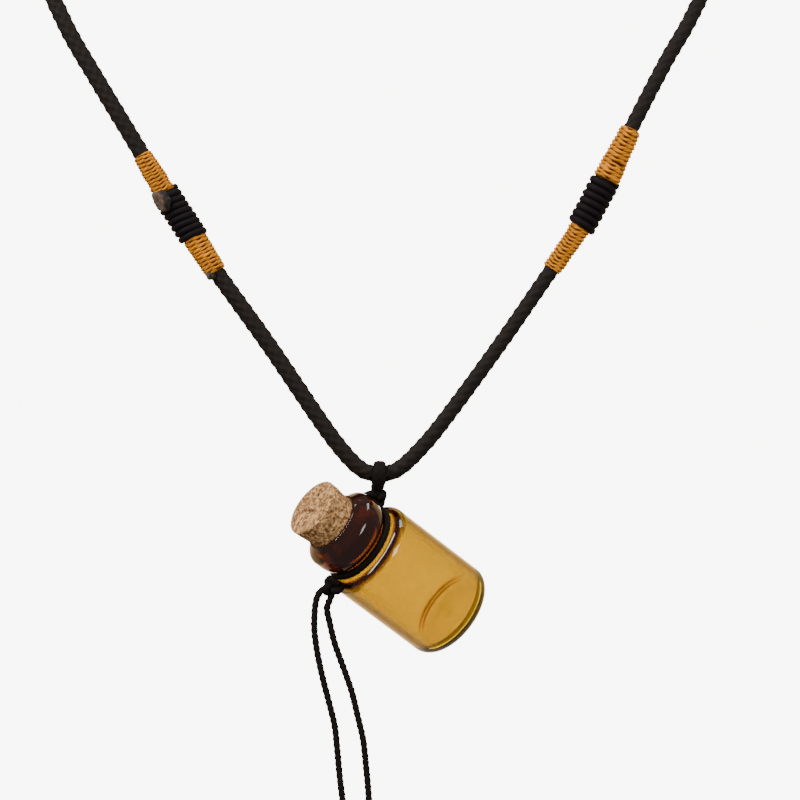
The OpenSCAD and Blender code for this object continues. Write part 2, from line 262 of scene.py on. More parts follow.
# %% Neck cord
ARM_X, ARM_SWELL = np.array([-20, 0, 20]) * MM, [1.04, 1, 0.95]

neck_line = even_line(smooth_line(NECK_ROUTE, 24), 0.3 * MM)
neck_cord = braided_cord(
    "braided_neck_cord", "necklace", neck_line, TOWARDS_VIEWER, NECK_CORD_D,
    strands=5, pitch=2.4 * MM, depth=0.42 * MM, columns=36,
    swell=np.interp(neck_line[:, 0], ARM_X, ARM_SWELL))
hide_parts("neck_cord")

# %% [markdown]
# The tails are thin braided cord.

# %% The two tails
def tail(name, node, route):
    """A thin braided cord along its route."""
    line = even_line(smooth_line(route, 16), 0.16 * MM)
    piece = braided_cord(
        name, "pendant", line, TOWARDS_VIEWER, TAIL_D,
        strands=4, pitch=1.35 * MM, depth=0.22 * MM, columns=24)
    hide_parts(node)
    return piece


left_tail = tail("tail_cord_left", "tail_left", LEFT_TAIL_ROUTE)
right_tail = tail("tail_cord_right", "tail_right", RIGHT_TAIL_ROUTE)

# %% [markdown]
# Nothing made by hand is even, so the wound thread, the coils and the cork need noise. This one
# keeps random values at the corners of a lattice of cubes and blends between the eight corners
# round a point. Its seed makes it come out the same each time.

# %% Noise
LATTICE = 32


def lattice_noise(points, size, seed):
    """Smooth noise from -1 to 1: random values on a lattice of the given size, blended between."""
    values = np.random.default_rng(seed).uniform(-1, 1, (LATTICE, LATTICE, LATTICE))
    at = points / size
    cell = np.floor(at).astype(int)
    f = at - cell
    f = f * f * (3 - 2 * f)
    total = 0
    for corner in range(8):
        step = np.array([corner >> 2 & 1, corner >> 1 & 1, corner & 1])
        share = np.prod(np.where(step, f, 1 - f), axis=-1)
        spot = (cell + step) % LATTICE
        total = total + share * values[spot[..., 0], spot[..., 1], spot[..., 2]]
    return total

# %% [markdown]
# Orange thread is wound tightly round the neck cord above and below each coil. The thread is a
# two-ply yarn about 1 mm thick. Its surface is a sleeve whose radius rises and falls once for
# each turn, plus a small slanted bump for each twist of the two plies. The rows bend at a seam
# on the front, as they do in the photo, and slow noise makes them uneven. In the wrap at the
# upper right, two turns have parted, so a slit shows the dark cord below.

# %% Orange wraps
WRAP_COLUMNS, WRAP_ROWS, WRAP_OVERLAP = 150, 150, 0.3 * MM
ROW_DEPTH, TWIST_HEIGHT, SLOW_HEIGHT, KINK_HEIGHT = 0.34 * MM, 0.11 * MM, 0.12 * MM, 0.2 * MM
WANDER, PLY_SLANT, WRAP_EDGE, WRAP_FLOOR = 0.25, 1.2, 0.4 * MM, 0.05 * MM
SEAM_BEND, SEAM_SWAY, SEAM_HALF = 2.2, 0.03, 0.05
SLIT_TURN, SLIT_SLANT, SLIT_DEPTH = 0.16, 1.2 * MM, 0.7 * MM
SLIT_HALF_HEIGHT, SLIT_HALF_TURN = 0.42 * MM, 0.09


def rounded_edge(along, reach):
    """A quarter circle that rises from 0 at both ends to 1 at the reach, as one column."""
    from_end = np.clip(np.minimum(along, along[-1] - along) / reach, 0, 1)
    return np.sqrt(1 - (1 - from_end) ** 2)[:, None]


def parted_turns(along, turn, at):
    """A slanted slit from 0 to 1: exp(-(offset along / half)^2 - (offset round / half)^4)."""
    off_along = (along[:, None] - at - SLIT_SLANT * (turn - SLIT_TURN)) / SLIT_HALF_HEIGHT
    off_round = (turn - SLIT_TURN) / SLIT_HALF_TURN
    return np.exp(-off_along ** 2 - off_round ** 4)


def wound_sleeve(name, node, stops, diameters, pitch, twists, seam, seed, slit_at=None):
    """radius(s, t) = taper(s) - depth * (1 - round row) + twist bump + slow noise - slit.

    A row is one turn of thread: its count is s / pitch minus the turn t, bent by slow noise."""
    low, high = stops
    way = unit(high - low)
    start = low - WRAP_OVERLAP * way
    length = np.linalg.norm(high - start) + WRAP_OVERLAP
    along = np.linspace(0, length, WRAP_ROWS)
    turn = np.arange(WRAP_COLUMNS)[None] / WRAP_COLUMNS
    spots = np.stack(np.broadcast_arrays(
        np.cos(TAU * turn), np.sin(TAU * turn), along[:, None] / (2 * MM)), -1)
    sway = SEAM_SWAY * np.sin(3 * along / MM)[:, None]
    from_seam = (turn - seam + sway + 0.5) % 1 - 0.5
    in_seam = np.exp(-(from_seam / SEAM_HALF) ** 2)
    wander = WANDER * lattice_noise(spots + seed + 5, 1.1, seed + 1)
    count = along[:, None] / pitch - turn + wander - SEAM_BEND * np.abs(from_seam)
    row = round_row(count)
    ply = np.sin(TAU * (twists * (np.floor(count) + turn) + PLY_SLANT * (count % 1)))
    kinks = np.clip(lattice_noise(spots + seed + 11, 0.5, seed + 2), 0, 1)
    slit = 0 if slit_at is None else parted_turns(along, turn, slit_at)
    taper = np.interp(along, [0, length], np.array(diameters) * MM / 2)[:, None]
    radius = taper - ROW_DEPTH * (1 - row) + TWIST_HEIGHT * ply * row + KINK_HEIGHT * kinks * row
    radius = radius + SLOW_HEIGHT * lattice_noise(spots + seed, 0.8, seed) - SLIT_DEPTH * slit
    base = NECK_CORD_D / 2 + WRAP_FLOOR
    radius = base + (radius - base) * rounded_edge(along, WRAP_EDGE)
    grid = round_line(start + way * along[:, None], radius, TOWARDS_VIEWER)
    # Painted shade between the rows, in the ply valleys and along the seam; a painted highlight on the
    # raised kinks. The slit's dark is the cord below.
    groove = 1.05 - row + 0.4 * np.clip(-ply, 0, 1) + in_seam * (1.1 - row) - 0.4 * kinks
    piece = grid_piece(name, grid, "necklace", along, np.maximum(np.clip(groove, 0, 1), slit))
    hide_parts(node)
    return piece


wraps = [
    wound_sleeve("orange_wrap_left_upper", "left_upper_wrap", LEFT_STOPS[2:4], (5.0, 4.5),
                 pitch=0.82 * MM, twists=8, seam=0.25, seed=3),
    wound_sleeve("orange_wrap_left_lower", "left_lower_wrap", LEFT_STOPS[0:2], (4.8, 5.5),
                 pitch=0.86 * MM, twists=8, seam=0.2, seed=5),
    wound_sleeve("orange_wrap_right_lower", "right_lower_wrap", RIGHT_STOPS[0:2], (4.3, 4.7),
                 pitch=0.9 * MM, twists=7, seam=0.28, seed=7),
    wound_sleeve("orange_wrap_right_upper", "right_upper_wrap", RIGHT_STOPS[2:4], (6.2, 4.7),
                 pitch=1.0 * MM, twists=7, seam=0.25, seed=9, slit_at=4.2 * MM),
]

# %% [markdown]
# The dark coils are real coils here: one thin cord that winds round the neck cord in close
# turns. The line is a helix, and the turns lean a little, as they do when a coil is pushed
# together by hand. The cord is smoother than the braid, so its relief is fine. It is drawn a
# little thicker than one turn's share of the length, so that the turns press on each other.

# %% Dark coils
COIL_OVERLAP, COIL_UNEVEN, COIL_RELIEF = 0.45 * MM, 0.1 * MM, 0.05 * MM
COIL_PRESS, COIL_FULL, COIL_STEPS, COIL_COLUMNS = 1.08, 1.02, 56, 20


def cord_coil(name, node, stops, turns, outer_d, lean, seed):
    """A helix: axis(t) + reach * (cos t * side + sin t * lift) + lean * cos t along the axis."""
    low, high = stops
    way = unit(high - low)
    side = unit(np.cross(way, TOWARDS_VIEWER))
    lift = np.cross(side, way)
    length = np.linalg.norm(high - low) + 2 * COIL_OVERLAP
    cord_d = COIL_PRESS * length / (turns + 1)
    t = np.linspace(0, turns, turns * COIL_STEPS)
    cos_t, sin_t = np.cos(TAU * t), np.sin(TAU * t)
    spots = np.stack([t, cos_t, sin_t], -1)
    reach = (outer_d - cord_d) / 2 + COIL_UNEVEN * lattice_noise(spots + seed, 0.9, seed)
    slant = lean * cos_t * np.clip(4 * np.minimum(t, turns - t) / turns, 0.25, 1)
    at = cord_d / 2 - COIL_OVERLAP + (length - cord_d) / turns * t + slant
    across = cos_t[:, None] * side + sin_t[:, None] * lift
    line = low + way * at[:, None] + reach[:, None] * across
    along = line_lengths(line)
    height = braid(along, COIL_COLUMNS, strands=6, pitch=0.7 * MM)
    radius = COIL_FULL * cord_d / 2 - COIL_RELIEF * (1 - height)
    # The groove, one minus the braid's height, is painted shade in the cord's gaps.
    piece = grid_piece(name, round_line(line, radius, way), "necklace", along, 1 - height)
    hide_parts(node)
    return piece


coils = [
    cord_coil("dark_coil_left", "left_coil", LEFT_STOPS[1:3], turns=8,
              outer_d=6.7 * MM, lean=-0.2 * MM, seed=11),
    cord_coil("dark_coil_right", "right_coil", RIGHT_STOPS[1:3], turns=7,
              outer_d=6.8 * MM, lean=0.25 * MM, seed=13),
]

# %% [markdown]
# The bottle hangs tilted. Its axis and its places follow from the same few sizes as the CAD
# model: the lean of the axis, the direction of the mouth, and the middle of the cord turn round
# its neck, which hangs from the knot.

# %% Bottle axis
BOTTLE_LEAN, MOUTH_HEADING = np.radians(56.7), np.radians(212.9)
TURN_R, TURN_HEIGHT = 8.65 * MM, 30.05 * MM
TURN_CENTRE = LOWEST + MM * np.array([-4.664, -4.233, -14.954])

mouth_way = np.array([np.sin(BOTTLE_LEAN) * np.cos(MOUTH_HEADING),
                      np.sin(BOTTLE_LEAN) * np.sin(MOUTH_HEADING), np.cos(BOTTLE_LEAN)])
rim_up = unit(np.array([0, 0, 1]) - mouth_way[2] * mouth_way)
rim_across = np.cross(mouth_way, rim_up)
bottle_base = TURN_CENTRE - TURN_HEIGHT * mouth_way
print("bottle base:", bottle_base.round(4))


def turned(outline, columns):
    """Surface of revolution: base + height * mouth_way + radius * (cos t * up + sin t * across)."""
    turn = np.arange(columns) / columns * TAU
    out = np.cos(turn)[:, None] * rim_up + np.sin(turn)[:, None] * rim_across
    return bottle_base + outline[:, 1, None, None] * mouth_way + outline[:, 0, None, None] * out[None]


def arc(cx, cy, rx, ry, start, stop, steps):
    """Points of an ellipse's arc, with its two radii and two angles in degrees."""
    t = np.radians(np.linspace(start, stop, steps))
    return np.stack([cx + rx * np.cos(t), cy + ry * np.sin(t)], 1)

# %% [markdown]
# Glass shows both of its surfaces, so the bottle is one closed outline that goes up the outside
# and down the inside. Every corner is rounded with several points, because light breaks hard at
# a corner.

# %% Glass outline
def glass_outline():
    """Outline in (radius, height), from the middle of the base round to the middle of the floor."""
    outside = np.vstack([
        [[0.001, 0.15], [2.5, 0.1], [4.5, -0.02], [6.2, -0.2], [7.4, -0.29]],
        arc(8.25, 2.7, 3, 3, -90, 0, 17),
        arc(8.75, 26.3, 2.5, 2.5, 0, 86, 14), [[8.4, 28.8]],
        arc(8.05, 29.05, 0.25, 0.25, 260, 180, 4), arc(8.1, 30.6, 0.3, 0.3, 180, 95, 4),
        arc(8.3, 33.9, 1.1, 3.0, -84, 0, 12), arc(8.0, 35.3, 1.4, 1.5, 8, 42, 8),
        [[8.6, 36.75], [7.6, 37.65]], arc(6.75, 37.6, 0.5, 0.75, 40, 86, 5),
    ])
    inside = np.vstack([
        arc(6.65, 38.1, 0.3, 0.3, 90, 180, 5), [[6.35, 36.5], [6.35, 32], [6.35, 29.3]],
        arc(6.95, 28.8, 0.6, 0.65, 180, 262, 6),
        arc(8.4, 26.4, 1.75, 1.72, 88, 0, 14),
        arc(7.85, 3.6, 2.3, 2.3, 0, -90, 28),
        [[6, 1.3], [3, 1.35], [0.001, 1.4]],
    ])
    return np.vstack([outside, inside]) * MM


outline = glass_outline()
print("widest radius of the glass in mm:", (outline[:, 0].max() / MM).round(2))

# %% [markdown]
# Real amber glass is honey yellow where it is thin and dark brown where it is thick. A render
# could get that from the wall's thickness alone, but then the body's edges come out too dark.
# So each point carries a tint from 0 to 1, and the material below turns it into a deeper brown.
# The lip is dark all over, partly for its thick glass and partly as painted shade from the cork
# behind it; its foot under the cord turn is painted shade. The photo shows a dark ring round the
# shoulder, just below the cord, painted here as a dark band of refraction, and a dark arc at one
# side of the floor, a refraction painted here as two narrow lines on that side only.

# %% Glass bottle
GLASS_COLUMNS = 160
# The shoulder ring and the floor's lines are painted dark refraction, the lip's foot is painted shade
# beside the cord turn, and the lip is partly painted shade from the cork behind it.
RING_INSIDE, RING_OUTSIDE, RING_HALF = (9.9, 27.4), (10.25, 28.3), 0.75
LIP_FROM, LIP_FADE, LIP_TINT_INSIDE, LIP_TINT_OUTSIDE = 29.6, 0.4, 0.5, 0.55
LIP_FOOT, LIP_FOOT_HALF, LIP_FOOT_SHADE = 30.6, 0.7, 0.9
FLOOR_EDGE, LINE_FROM_EDGE, LINE_HALF = (9.0, 1.6), 0.4, 0.3
LINE_TURN, LINE_REACH, LINE_CUT = np.radians(72), 1.9, 0.8


def glass_tint(outline):
    """The most of four fades by distance: painted dark shoulder ring, lip (partly painted shade), lip's
    foot (painted shade) and the floor's painted lines.
    """
    place = outline / MM
    height = place[:, 1]
    on_inside = np.arange(len(outline)) > np.argmax(height)
    ring_place = np.where(on_inside[:, None], RING_INSIDE, RING_OUTSIDE)
    ring = np.exp(-(np.linalg.norm(place - ring_place, axis=1) / RING_HALF) ** 4)
    lip = np.where(on_inside, LIP_TINT_INSIDE, LIP_TINT_OUTSIDE)
    lip = lip * np.clip((height - LIP_FROM) / LIP_FADE, 0, 1)
    lip_foot_shade = LIP_FOOT_SHADE * np.exp(-((height - LIP_FOOT) / LIP_FOOT_HALF) ** 4)
    from_edge = np.linalg.norm(place - FLOOR_EDGE, axis=1)
    lines = on_inside * np.exp(-((from_edge - LINE_FROM_EDGE) / LINE_HALF) ** 2)
    turn = np.arange(GLASS_COLUMNS) / GLASS_COLUMNS * TAU
    marked = np.clip(LINE_REACH * np.cos(turn - LINE_TURN) - LINE_CUT, 0, 1)
    return np.maximum(np.maximum.reduce([ring, lip, lip_foot_shade])[:, None], lines[:, None] * marked)


glass = grid_piece("glass_bottle", turned(outline, GLASS_COLUMNS), "pendant",
                   line_lengths(outline), glass_tint(outline))
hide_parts("bottle")

# %% [markdown]
# Pressed cork is made of crumbs with open pits between them. The stopper is a tapered turned
# shape whose grid is fine enough to push in its pits with noise, above the bottle's mouth only.
# The top edge is worn and crumbled, so some of it is taken away there.

# %% Cork stopper
BASE_ROWS, SIDE_ROWS, TOP_ROWS, CORK_COLUMNS = 22, 68, 36, 144
CRUMB_HEIGHT, PIT_DEPTH, WEAR_DEPTH = 0.09 * MM, 0.4 * MM, 0.07 * MM
SHOWN_FROM, SHOWN_FADE = 38.2 * MM, 0.8 * MM
WORN_HEIGHT, WORN_HALF, WORN_FROM_R, WORN_FADE_R = 44.2 * MM, 0.9 * MM, 5.2 * MM, 1.2 * MM
LARGE_PIT, SMALL_PIT, CRUMB = 1.1 * MM, 0.55 * MM, 0.8 * MM


def cork_outline():
    """Outline in (radius, height above the base), bottom to top."""
    rows = [
        np.stack([np.linspace(0.001, 5.3, BASE_ROWS), np.full(BASE_ROWS, 31.4)], 1),
        np.stack([np.linspace(5.68, 6.85, SIDE_ROWS), np.linspace(31.75, 44.25, SIDE_ROWS)], 1),
        np.stack([np.linspace(6.7, 0.001, TOP_ROWS), np.full(TOP_ROWS, 44.4)], 1),
    ]
    return np.vstack(rows) * MM


outline = cork_outline()
radius, height = outline[:, :1], outline[:, 1:]
smooth_cork = turned(outline, CORK_COLUMNS)
outward = unit(smooth_cork - (bottle_base + height[:, :, None] * mouth_way) + 1e-9)
outward[:BASE_ROWS] = -mouth_way
outward[-TOP_ROWS:] = mouth_way
small_pits = np.clip(lattice_noise(smooth_cork, SMALL_PIT, 21) - 0.35, 0, 1)
large_pits = np.clip(lattice_noise(smooth_cork, LARGE_PIT, 23) - 0.3, 0, 1)
pits = small_pits + 0.6 * large_pits
crumbs = lattice_noise(smooth_cork, CRUMB, 25)
shown = np.clip((height - SHOWN_FROM) / SHOWN_FADE, 0, 1)
worn = np.exp(-((height - WORN_HEIGHT) / WORN_HALF) ** 2)
worn = worn * np.clip((radius - WORN_FROM_R) / WORN_FADE_R, 0, 1)
relief = shown * (CRUMB_HEIGHT * crumbs - PIT_DEPTH * pits) - WEAR_DEPTH * worn * (1 + crumbs)
# The groove is painted shade in the pits.
cork = grid_piece("cork_stopper", smooth_cork + outward * relief[..., None], "cork",
                  line_lengths(outline), np.clip(1.6 * pits, 0, 1))
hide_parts("cork")

# %% [markdown]
# The thin cord goes once round the bottle's neck in the groove under the lip. It is a closed
# line, a circle about the bottle's axis, dressed with the same braid as the tails. It bulges a
# little between the shoulder and the lip, so it is drawn thicker and a little nearer to the
# shoulder than the CAD model has it.

# %% Cord turn on the neck
TURN_POINTS, TURN_CROSSINGS = 340, 40
TURN_LOWER, TURN_FULLER = 0.25 * MM, 0.25 * MM

t = np.arange(TURN_POINTS)[:, None] / TURN_POINTS * TAU
turn_line = TURN_R * (np.cos(t) * rim_up + np.sin(t) * rim_across)
turn_line = TURN_CENTRE - TURN_LOWER * mouth_way + turn_line
neck_turn = braided_cord(
    "neck_turn_cord", "pendant", turn_line, mouth_way, THIN_CORD_D + TURN_FULLER,
    strands=4, pitch=TAU * TURN_R / TURN_CROSSINGS, depth=0.2 * MM, columns=24, closed=True)
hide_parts("neck_turn")

# %% [markdown]
# The thin cord is folded over the neck cord and pulled tight, so it lies flat on top and its two
# legs run together below, one in front and one behind. It is a smooth line over the cord, with
# a section that is wide and flat where it is pressed and round again in the legs.

# %% Loop over the neck cord
LOOP_ROUTE = LOWEST + MM * np.array([
    [-0.5, -0.65, -4.6], [-0.4, -0.95, -3.6], [-0.25, -1.8, -2.4], [-0.1, -2.4, -1.0],
    [0, -2.4, 0.6], [0, -1.6, 1.9], [0, 0, 2.5], [0, 1.6, 1.9], [0, 2.4, 0.6],
    [-0.1, 2.4, -1.0], [-0.5, 1.8, -2.4], [-0.9, 1.05, -3.6], [-1.1, 0.85, -4.6]
])
PRESSED_AT, PRESSED = [0, 0.3, 0.5, 0.7, 1], [0, 0.7, 1, 0.7, 0]
WIDE_AT = [0, 0.06, 0.17, 0.3, 0.5, 0.7, 0.83, 0.94, 1]
HALF_WIDTHS = np.array([1.0, 1.15, 1.55, 1.6, 1.3, 1.6, 1.55, 1.15, 1.0]) * MM
HALF_THICK, PRESSED_THINNER = 0.78 * MM, 0.34 * MM


def hang_loop(columns):
    """Oval section along an arch, radius = ab / sqrt((b cos t)^2 + (a sin t)^2), less the braid."""
    line = even_line(smooth_line(LOOP_ROUTE, 16), 0.14 * MM)
    along = line_lengths(line)
    share = along / along[-1]
    turn = np.arange(columns)[None] / columns * TAU
    wide = np.interp(share, WIDE_AT, HALF_WIDTHS)[:, None]
    thick = HALF_THICK - PRESSED_THINNER * np.interp(share, PRESSED_AT, PRESSED)[:, None]
    height = braid(along, columns, strands=4, pitch=1.3 * MM)
    radius = wide * thick / np.sqrt((thick * np.cos(turn)) ** 2 + (wide * np.sin(turn)) ** 2)
    radius = radius - 0.16 * MM * (1 - height)
    way = unit(np.gradient(line, axis=0))
    lift = unit(np.cross([1.0, 0, 0], way))
    side = np.cross(way, lift)
    out = np.cos(turn)[..., None] * side[:, None] + np.sin(turn)[..., None] * lift[:, None]
    grid = line[:, None] + radius[..., None] * out
    # The groove, one minus the braid's height, is painted shade in the cord's gaps.
    piece = grid_piece("hang_loop_cord", grid, "pendant", along, 1 - height)
    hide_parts("hang_loop")
    return piece


loop = hang_loop(28)

# %% [markdown]
# A pulled knot is hard to draw strand by strand, but a knot from geometry looks right when it is
# small: the line of a trefoil, (sin t + 2 sin 2t, cos t - 2 cos 2t, -sin 3t), shows three lobes
# that pass over and under each other. Squeezed to the size of the real knot, its lobes read as
# the pulled turns of the cord.

# %% Knots
KNOT_POINTS, KNOT_PITCH = 420, 1.3 * MM
INTO_PICTURE = np.array([0.0, 1, 0])


def knot_piece(name, node, middle, size, spin, cord_d):
    """Trefoil line scaled to a width, depth and height, turned by 'spin' degrees about the view."""
    t = np.arange(KNOT_POINTS) / KNOT_POINTS * TAU
    spin = np.radians(spin)
    flat_x, flat_z = np.sin(t) + 2 * np.sin(2 * t), np.cos(t) - 2 * np.cos(2 * t)
    x = flat_x * np.cos(spin) - flat_z * np.sin(spin)
    z = flat_x * np.sin(spin) + flat_z * np.cos(spin)
    shape = np.stack([x, -np.sin(3 * t), z], 1)
    low, high = shape.min(0), shape.max(0)
    shape = (shape - (low + high) / 2) / (high - low) * (np.array(size) - cord_d / MM) * MM
    line = LOWEST + np.array(middle) * MM + shape
    length = line_lengths(line)[-1]
    piece = braided_cord(
        name, "pendant", line, INTO_PICTURE, cord_d,
        strands=4, pitch=length / round(length / KNOT_PITCH), depth=0.2 * MM, columns=22, closed=True)
    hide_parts(node)
    return piece


top_knot = knot_piece(
    "top_knot_cord", "top_knot", [-1.2, 0, -5.45], [5.8, 4.4, 4.7], spin=20, cord_d=1.85 * MM)
side_knot = knot_piece(
    "side_knot_cord", "side_knot", [-10.15, -7.6, -24.35], [5.0, 3.6, 4.8], spin=75, cord_d=1.75 * MM)

# %% [markdown]
# Where the left coil ends, its cord was melted with a flame and pressed down. The result is a
# flat rough bead with pale and dark patches, and painted light on its left side and painted
# shade on its right. The orange thread below ends in a much smaller bead. Both are a ball on a
# grid, flattened and pushed about by noise.

# %% Melted ends
BEAD_ROWS, BEAD_COLUMNS = 42, 56
LUMPS, FINE_LUMPS = (0.3, 0.7), (0.12, 0.3)
# The side term paints light on the bead's left and shade on its right.
SCORCH_MEAN, PAINTED_SIDE_SHADING, SCORCH_PATCHES = 0.55, 0.9, 1.1


def melted_bead(name, middle, way, out, sizes, seed):
    """Ball: middle + (a cos u cos v, b sin u cos v, c sin v), its radii changed by noise.

    LUMPS and FINE_LUMPS are each a height and a size, as shares of the ball's radius."""
    round_way = np.cross(way, out)
    v = np.linspace(-np.pi / 2, np.pi / 2, BEAD_ROWS)[:, None]
    u = np.arange(BEAD_COLUMNS)[None] / BEAD_COLUMNS * TAU
    ball = np.stack(np.broadcast_arrays(np.cos(v) * np.cos(u), np.cos(v) * np.sin(u), np.sin(v)), -1)
    bulge = 1 + LUMPS[0] * lattice_noise(ball + 4, LUMPS[1], seed)
    bulge = bulge + FINE_LUMPS[0] * lattice_noise(ball + 9, FINE_LUMPS[1], seed + 2)
    shape = ball * bulge[..., None] * np.array(sizes) * MM
    grid = middle + shape[..., 0:1] * round_way + shape[..., 1:2] * way + shape[..., 2:3] * out
    patches = lattice_noise(ball + 20, 0.45, seed + 5)
    # Painted light on the bead's left and painted shade on its right, plus patches of paler and darker
    # tone.
    tone_and_side_shading = SCORCH_MEAN + PAINTED_SIDE_SHADING * ball[..., 0] + SCORCH_PATCHES * patches
    return grid_piece(name, grid, "necklace", np.linspace(0, 4 * MM, BEAD_ROWS), np.clip(tone_and_side_shading, 0, 1))


thread_foot, coil_start, coil_end = LEFT_STOPS[0:3]
coil_way = unit(coil_end - coil_start)
bead_out = np.array([-0.45, -0.86, 0.0])
bead_out = unit(bead_out - coil_way * (bead_out @ coil_way))
cord_bead_at = coil_start + (coil_end - coil_start) * 0.86 + bead_out * 3.5 * MM
thread_bead_at = thread_foot + MM * np.array([-1.0, -1.65, -1.25])
melted_end = melted_bead("melted_cord_end", cord_bead_at, coil_way, bead_out, [1.75, 2.3, 1.15], 31)
thread_end = melted_bead("melted_thread_end", thread_bead_at, coil_way, bead_out, [0.95, 1.0, 0.75], 43)
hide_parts("burnt_cord_end")

# %% [markdown]
# At the nape the two ends of the cord are joined under a plain whipping of thin dark cord. It is
# outside the picture, so it is kept simple: close rows on a straight sleeve.

# %% Nape whipping
WHIPPING_LENGTH, WHIPPING_PITCH, WHIPPING_ROWS, WHIPPING_COLUMNS = 20 * MM, 1.1 * MM, 200, 64
WHIPPING_THICK, WHIPPING_DEPTH, WHIPPING_EDGE = 1.05 * MM, 0.3 * MM, 0.8 * MM

along = np.linspace(0, WHIPPING_LENGTH, WHIPPING_ROWS)
nape_line = np.outer(along - WHIPPING_LENGTH / 2, [1, 0, 0])
turn = np.arange(WHIPPING_COLUMNS)[None] / WHIPPING_COLUMNS
row = round_row(along[:, None] / WHIPPING_PITCH - turn)
thickness = rounded_edge(along, WHIPPING_EDGE) * (WHIPPING_THICK - WHIPPING_DEPTH * (1 - row))
# The groove, one minus the row, is painted shade between the turns.
nape = grid_piece(
    "nape_whipping", round_line(nape_line, NECK_CORD_D / 2 + thickness, TOWARDS_VIEWER),
    "necklace", along, 1 - row)
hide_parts("nape_joint")

# %% [markdown]

# %% [markdown]
# A material is a small net of nodes. These helpers make a node, set what it needs and tie it to
# the nodes before it in one call, so that a material reads like a list of steps.

# %% Node helpers
def feed(tree, node, inputs):
    """Each named input gets a plain value, or a link where the value is a node's output."""
    for label, value in inputs.items():
        if isinstance(value, bpy.types.NodeSocket):
            tree.links.new(value, node.inputs[label])
        else:
            node.inputs[label].default_value = value
    return node


def add(tree, kind, inputs=None, **settings):
    """A new node with its settings and its inputs."""
    node = tree.nodes.new(kind)
    for key, value in settings.items():
        setattr(node, key, value)
    return feed(tree, node, inputs or {})


def joined(tree, operation, first, second, **settings):
    """The result of one arithmetic step on two values."""
    return add(tree, "ShaderNodeMath", {0: first, 1: second}, operation=operation, **settings).outputs[0]


def fade(tree, source, start, end, low=0, high=1):
    """The source moved from the range start to end into the range low to high, and kept in it."""
    return add(tree, "ShaderNodeMapRange", {
        "Value": source, "From Min": start, "From Max": end, "To Min": low, "To Max": high}).outputs[0]


def mixed(tree, factor, first, second):
    """A colour between two colours."""
    colours = {"Factor": factor, "A": first, "B": second}
    return add(tree, "ShaderNodeMix", colours, data_type="RGBA").outputs["Result"]


def groove_value(tree):
    """The number that each point of the mesh carries."""
    return add(tree, "ShaderNodeAttribute", attribute_name="groove").outputs["Fac"]


def new_material(name):
    """A material, its node tree and its shader."""
    material = bpy.data.materials.new(name)
    material.use_nodes = True
    return material, material.node_tree, material.node_tree.nodes["Principled BSDF"]

# %% [markdown]
# All yarns share one node group. It takes a light and a dark colour, paints shade into the gaps of
# the braid by the groove value stored on each point, and adds fine fibres from noise that is
# stretched along the piece's own UV map. The shader itself stays in each material.

# %% Yarn node group
FIBRE_STRETCH, GROOVE_POWER = (6, 2, 1), 1.2
PATCH_START, PATCH_END, PATCH_DARK = 0.35, 0.75, 0.45
FIBRE_START, FIBRE_END, FIBRE_DARK = 0.4, 0.7, 0.35
SMOOTHEST, ROUGHEST = 0.55, 0.85


def new_group(name, inputs, outputs):
    """An empty node group with its named inputs and outputs."""
    group = bpy.data.node_groups.new(name, "ShaderNodeTree")
    for label, kind, value in inputs:
        socket = group.interface.new_socket(label, in_out="INPUT", socket_type=kind)
        socket.default_value = value
    for label, kind in outputs:
        group.interface.new_socket(label, in_out="OUTPUT", socket_type=kind)
    return group, group.nodes.new("NodeGroupInput").outputs, group.nodes.new("NodeGroupOutput")


def yarn_group():
    """Colour = light to dark by the groove (mostly painted shade), slow patches and fibres; height =
    fibres.
    """
    group, given, result = new_group("Yarn", [
        ("Light", "NodeSocketColor", (0.5, 0.5, 0.5, 1)),
        ("Dark", "NodeSocketColor", (0.1, 0.1, 0.1, 1)),
        ("Fibre Scale", "NodeSocketFloat", 40.0),
        ("Patch Scale", "NodeSocketFloat", 300.0),
        ("Gap Strength", "NodeSocketFloat", 0.8),
    ], [("Color", "NodeSocketColor"), ("Height", "NodeSocketFloat"), ("Roughness", "NodeSocketFloat")])
    uv = add(group, "ShaderNodeUVMap", uv_map="surface")
    stretched = add(group, "ShaderNodeMapping", {"Vector": uv.outputs["UV"], "Scale": FIBRE_STRETCH})
    fibres = add(group, "ShaderNodeTexNoise", {
        "Vector": stretched.outputs["Vector"], "Scale": given["Fibre Scale"],
        "Detail": 3, "Roughness": 0.65}).outputs["Fac"]
    place = add(group, "ShaderNodeTexCoord").outputs["Object"]
    patches = add(group, "ShaderNodeTexNoise", {
        "Vector": place, "Scale": given["Patch Scale"], "Detail": 3}).outputs["Fac"]
    gap = joined(group, "POWER", groove_value(group), GROOVE_POWER)
    gap = joined(group, "MULTIPLY", gap, given["Gap Strength"])
    patchy = fade(group, patches, PATCH_START, PATCH_END, 0, PATCH_DARK)
    streaky = fade(group, fibres, FIBRE_START, FIBRE_END, 0, FIBRE_DARK)
    darkness = joined(group, "MAXIMUM", gap, patchy)
    darkness = joined(group, "ADD", darkness, streaky, use_clamp=True)
    feed(group, result, {
        "Color": mixed(group, darkness, given["Light"], given["Dark"]),
        "Height": fibres, "Roughness": fade(group, fibres, 0, 1, SMOOTHEST, ROUGHEST)})
    return group


YARN = yarn_group()
print("nodes in the yarn group:", len(YARN.nodes))

# %% [markdown]
# The dark cords are almost black, so they keep very little gloss: a shinier black turns grey in
# a bright studio. The orange thread is strong in colour, and painted shade turns it deep red-brown
# in its gaps. The melted ends use the same group with broad patches, because they were yarn
# before the flame.

# %% Yarn materials
FIBRE_HEIGHT = 0.2 * MM


